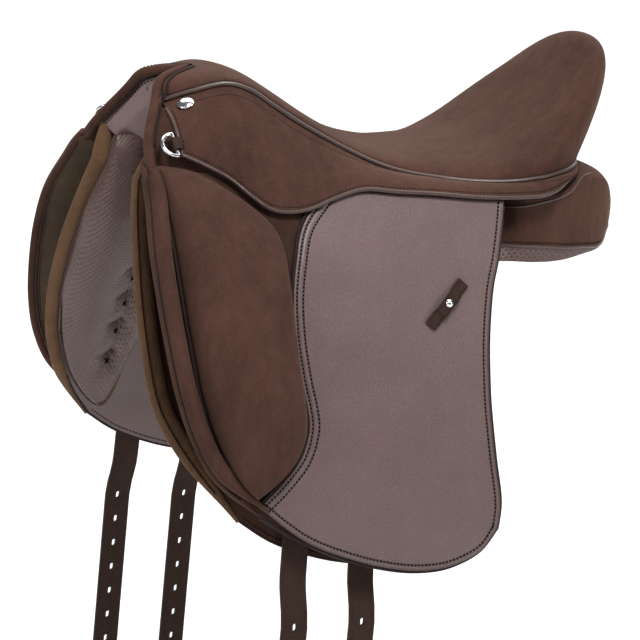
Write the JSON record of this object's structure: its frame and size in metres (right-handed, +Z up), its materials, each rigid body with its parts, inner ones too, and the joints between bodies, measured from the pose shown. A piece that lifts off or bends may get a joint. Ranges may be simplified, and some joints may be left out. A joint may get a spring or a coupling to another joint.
{
  "type": "dressage saddle",
  "caption": "English dressage saddle with a deep seat, long straight flaps with knee blocks, wool-stuffed panels, stirrup bars and long girth straps.",
  "frame": {"origin": "on the middle plane, at the level where the panels bear on the back, below the seat's waist", "axes": "+X forward to the pommel, +Y to the near (left) side, +Z up"},
  "size_m": [0.5226, 0.4422, 0.7633],
  "materials": {
    "suede": "napped suede",
    "flap_leather": "fine grain, satin",
    "panel_leather": "soft, perforated",
    "trim_leather": "smooth, satin",
    "strap_leather": "smooth, satin",
    "lining": "matt suede side",
    "webbing": "woven",
    "foam": "open foam",
    "tree_shell": "moulded",
    "steel": "brushed",
    "bright_metal": "polished"
  },
  "bodies": {
    "saddle": {"tree": "tree_shell", "gullet_plate": "steel", "gullet_screws": "steel", "seat_foam": "foam", "seat_cover": "suede", "pommel_roll": "trim_leather", "pommel_facing": "trim_leather", "near_head_cover": "suede", "off_head_cover": "suede", "gullet_web": "webbing", "near_welt": "trim_leather", "off_welt": "trim_leather", "near_skirt": "suede", "off_skirt": "suede", "near_stud": "bright_metal", "off_stud": "bright_metal", "near_panel": "panel_leather", "off_panel": "panel_leather", "near_tufts": "panel_leather", "off_tufts": "panel_leather", "near_sweat_flap": "lining", "off_sweat_flap": "lining", "near_flap_web": "webbing", "off_flap_web": "webbing", "near_girth_web": "webbing", "off_girth_web": "webbing", "strap_rivets": "steel", "near_stirrup_bar": "steel", "off_stirrup_bar": "steel", "bar_rivets": "steel", "near_dee_chape": "strap_leather", "off_dee_chape": "strap_leather"},
    "near_flap": {"near_flap": "lining", "near_flap_roll": "suede", "near_facing": "flap_leather", "near_knee_block": "suede", "near_keeper": "strap_leather", "near_keeper_stud": "bright_metal"},
    "near_front_strap": {"near_front_strap": "strap_leather"},
    "near_rear_strap": {"near_rear_strap": "strap_leather"},
    "near_dee": {"near_dee": "bright_metal"},
    "near_bar_catch": {"near_bar_catch": "steel"},
    "off_flap": {"off_flap": "lining", "off_flap_roll": "suede", "off_facing": "flap_leather", "off_knee_block": "suede", "off_keeper": "strap_leather", "off_keeper_stud": "bright_metal"},
    "off_front_strap": {"off_front_strap": "strap_leather"},
    "off_rear_strap": {"off_rear_strap": "strap_leather"},
    "off_dee": {"off_dee": "bright_metal"},
    "off_bar_catch": {"off_bar_catch": "steel"}
  },
  "joints": [
    {"name": "near_flap_lift", "type": "hinge", "parent": "saddle", "child": "near_flap", "pos_m": [0.259, 0.0745, 0.079], "axis": [0.9897, -0.1331, 0.0522], "range_deg": [0, 55], "deforming": ["near_skirt"]},
    {"name": "near_front_strap_swing", "type": "hinge", "parent": "saddle", "child": "near_front_strap", "pos_m": [0.132, 0.08162, 0.072], "axis": [0, 1, 0], "range_deg": [-6, 6]},
    {"name": "near_rear_strap_swing", "type": "hinge", "parent": "saddle", "child": "near_rear_strap", "pos_m": [0.062, 0.07712, 0.072], "axis": [0, 1, 0], "range_deg": [-6, 6]},
    {"name": "near_dee_swing", "type": "hinge", "parent": "saddle", "child": "near_dee", "pos_m": [0.23039, 0.07674, 0.09989], "axis": [0.0339, -0.7362, 0.6759], "range_deg": [0, 70]},
    {"name": "near_catch_turn", "type": "hinge", "parent": "saddle", "child": "near_bar_catch", "pos_m": [0.13419, 0.07294, 0.09493], "axis": [0.0968, 0.9737, 0.2061], "range_deg": [0, 45]},
    {"name": "off_flap_lift", "type": "hinge", "parent": "saddle", "child": "off_flap", "pos_m": [0.259, -0.0745, 0.079], "axis": [-0.9897, -0.1331, -0.0522], "range_deg": [0, 55], "deforming": ["off_skirt"]},
    {"name": "off_front_strap_swing", "type": "hinge", "parent": "saddle", "child": "off_front_strap", "pos_m": [0.132, -0.08162, 0.072], "axis": [0, 1, 0], "range_deg": [-6, 6]},
    {"name": "off_rear_strap_swing", "type": "hinge", "parent": "saddle", "child": "off_rear_strap", "pos_m": [0.062, -0.07712, 0.072], "axis": [0, 1, 0], "range_deg": [-6, 6]},
    {"name": "off_dee_swing", "type": "hinge", "parent": "saddle", "child": "off_dee", "pos_m": [0.23039, -0.07674, 0.09989], "axis": [-0.0339, -0.7362, -0.6759], "range_deg": [0, 70]},
    {"name": "off_catch_turn", "type": "hinge", "parent": "saddle", "child": "off_bar_catch", "pos_m": [0.13419, -0.07294, 0.09493], "axis": [-0.0968, 0.9737, -0.2061], "range_deg": [0, 45]}
  ]
}
